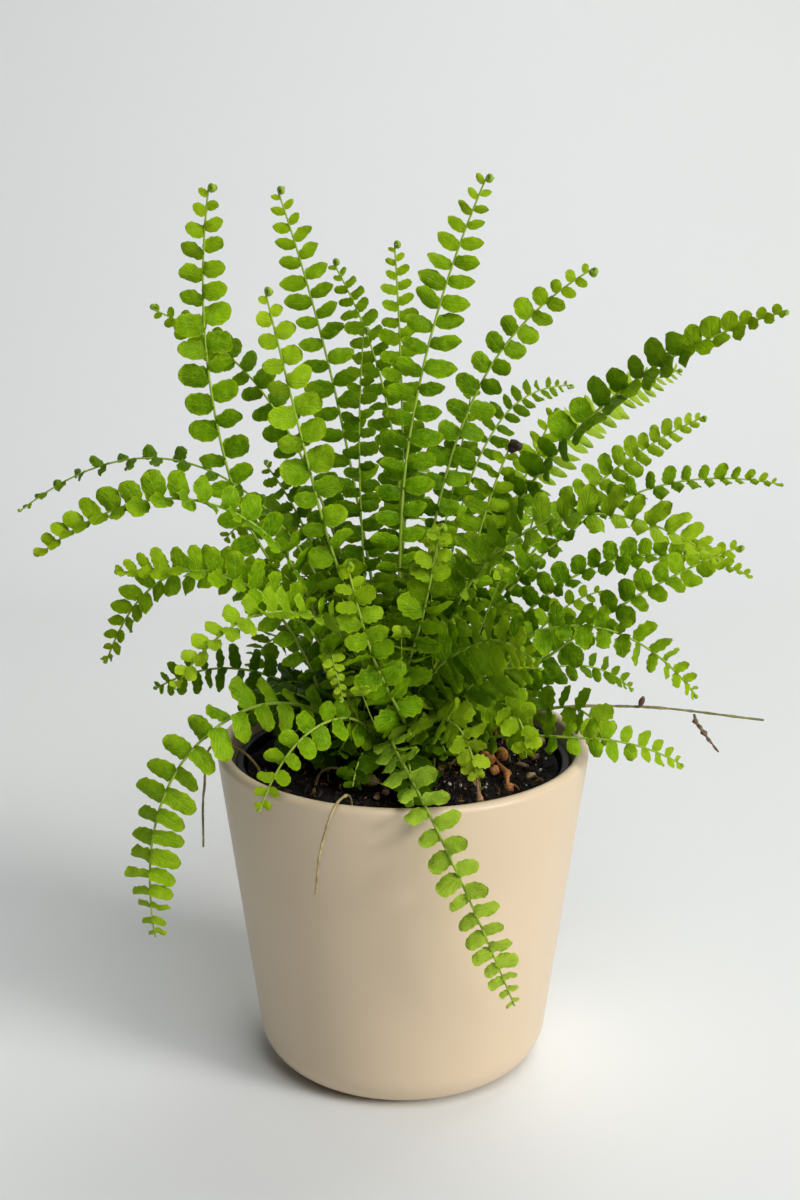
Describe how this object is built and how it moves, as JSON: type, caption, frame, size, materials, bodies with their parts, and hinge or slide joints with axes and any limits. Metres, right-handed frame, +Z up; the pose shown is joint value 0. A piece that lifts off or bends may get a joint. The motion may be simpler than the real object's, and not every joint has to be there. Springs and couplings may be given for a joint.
{
  "type": "potted lemon button fern",
  "caption": "Lemon button fern tuft with arching fronds of round leaflets, in a black nursery pot standing inside a smooth tapered ceramic pot.",
  "frame": {"origin": "middle of the ceramic pot's flat base, on the surface that it stands on", "axes": "+Z up along the pot's axis, -Y towards the front, +X to the right"},
  "size_m": [0.2713, 0.208, 0.314],
  "materials": {
    "ceramic": "smooth satin beige ceramic glaze",
    "nursery_plastic": "thin black moulded polypropylene",
    "potting_soil": "dark moist peat soil with bark and perlite bits",
    "leaf_green": "satin mid green leaflets",
    "leaf_fresh": "satin lime green young leaflets",
    "leaf_deep": "satin dark green older leaflets",
    "leaf_pale": "satin pale green leaflets with fine brown specks",
    "leaf_withered": "matte dry orange brown curled leaflets",
    "dry_stem": "matte dry brown bare rib",
    "runner_stem": "matte hairy olive brown runner"
  },
  "bodies": {
    "root": {"cachepot": "ceramic", "dry_stalk": "dry_stem", "frond_back_curl": "leaf_deep", "frond_back_hang": "leaf_green", "frond_back_left": "leaf_green", "frond_back_low_left": "leaf_deep", "frond_back_low_right": "leaf_green", "frond_back_mid": "leaf_green", "frond_back_right": "leaf_deep", "frond_bright_front": "leaf_fresh", "frond_centre_back": "leaf_green", "frond_centre_bead": "leaf_green", "frond_centre_right": "leaf_green", "frond_crinkled_front": "leaf_fresh", "frond_crinkled_mid": "leaf_fresh", "frond_crinkled_right": "leaf_fresh", "frond_dry": "leaf_withered", "frond_front_centre": "leaf_fresh", "frond_front_hang": "leaf_pale", "frond_front_left": "leaf_green", "frond_front_low": "leaf_green", "frond_front_right": "leaf_green", "frond_left_back": "leaf_deep", "frond_left_broad": "leaf_green", "frond_left_drop": "leaf_deep", "frond_left_hang": "leaf_pale", "frond_left_inner": "leaf_deep", "frond_left_low": "leaf_deep", "frond_left_near": "leaf_fresh", "frond_left_rim": "leaf_green", "frond_left_slim": "leaf_green", "frond_left_thin": "leaf_green", "frond_right_back": "leaf_deep", "frond_right_broad": "leaf_green", "frond_right_dark": "leaf_deep", "frond_right_drop": "leaf_green", "frond_right_long": "leaf_deep", "frond_right_low_dark": "leaf_deep", "frond_right_mid": "leaf_green", "frond_right_pale": "leaf_pale", "frond_right_rim": "leaf_fresh", "frond_right_rising": "leaf_green", "frond_right_slim": "leaf_green", "frond_right_upper": "leaf_green", "frond_tall_left": "leaf_green", "frond_tall_left_inner": "leaf_green", "frond_tall_right": "leaf_green", "frond_young_back": "leaf_green", "frond_young_curl": "leaf_deep", "frond_young_hang": "leaf_fresh", "frond_young_right": "leaf_fresh", "nursery_pot": "nursery_plastic", "runner_front": "runner_stem", "runner_left": "runner_stem", "soil": "potting_soil", "soil_runner": "runner_stem"}
  },
  "joints": []
}
